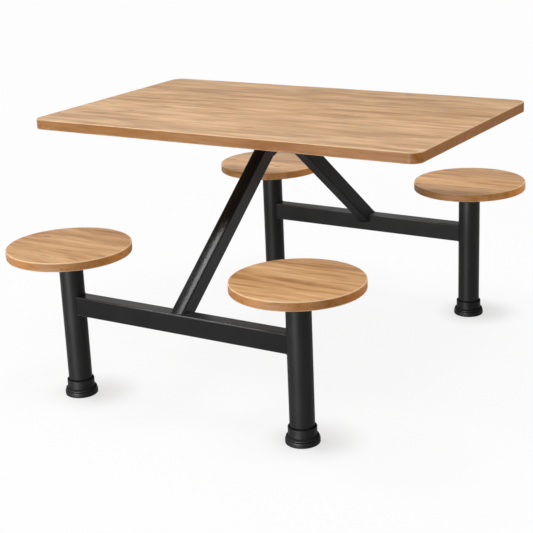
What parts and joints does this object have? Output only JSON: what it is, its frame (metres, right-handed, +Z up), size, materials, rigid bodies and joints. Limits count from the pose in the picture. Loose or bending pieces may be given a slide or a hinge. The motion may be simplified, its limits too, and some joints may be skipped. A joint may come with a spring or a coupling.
{
  "type": "picnic table with attached stools",
  "caption": "Rectangular wooden table on a steel frame of crossbars and inclined braces, with round disc stools fixed on posts that end in cups and levelling feet.",
  "frame": {"origin": "on the floor under the middle of the tabletop", "axes": "+X to the right along the tabletop, +Y to the rear across it, +Z up; the front stools are at -Y"},
  "size_m": [1.24, 1.442, 0.75],
  "materials": {
    "wood": "satin varnish, grain along the tabletop",
    "steel": "satin black powder coat",
    "plastic": "moulded black plastic",
    "zinc": "zinc-plated steel"
  },
  "bodies": {
    "frame": {"tabletop": "wood", "seat_front_left": "wood", "seat_front_right": "wood", "seat_rear_left": "wood", "seat_rear_right": "wood", "seat_plate_front_left": "steel", "seat_plate_front_right": "steel", "seat_plate_rear_left": "steel", "seat_plate_rear_right": "steel", "seat_screws": "zinc", "post_front_left": "steel", "post_front_right": "steel", "post_rear_left": "steel", "post_rear_right": "steel", "crossbar_front": "steel", "crossbar_rear": "steel", "brace_front": "steel", "brace_rear": "steel", "apex_plate": "steel", "apex_saddle": "steel", "spine": "steel", "spine_plug_left": "plastic", "spine_plug_right": "plastic", "arm_left": "steel", "arm_right": "steel", "tabletop_screws": "zinc", "cup_front_left": "plastic", "cup_front_right": "plastic", "cup_rear_left": "plastic", "cup_rear_right": "plastic"},
    "foot_front_left": {"pad_front_left": "plastic", "stem_front_left": "zinc"},
    "foot_front_right": {"pad_front_right": "plastic", "stem_front_right": "zinc"},
    "foot_rear_left": {"pad_rear_left": "plastic", "stem_rear_left": "zinc"},
    "foot_rear_right": {"pad_rear_right": "plastic", "stem_rear_right": "zinc"}
  },
  "joints": [
    {"name": "level_front_left", "type": "slide", "parent": "frame", "child": "foot_front_left", "axis": [0, 0, -1], "range_m": [0, 0.012]},
    {"name": "level_front_right", "type": "slide", "parent": "frame", "child": "foot_front_right", "axis": [0, 0, -1], "range_m": [0, 0.012]},
    {"name": "level_rear_left", "type": "slide", "parent": "frame", "child": "foot_rear_left", "axis": [0, 0, -1], "range_m": [0, 0.012]},
    {"name": "level_rear_right", "type": "slide", "parent": "frame", "child": "foot_rear_right", "axis": [0, 0, -1], "range_m": [0, 0.012]}
  ]
}
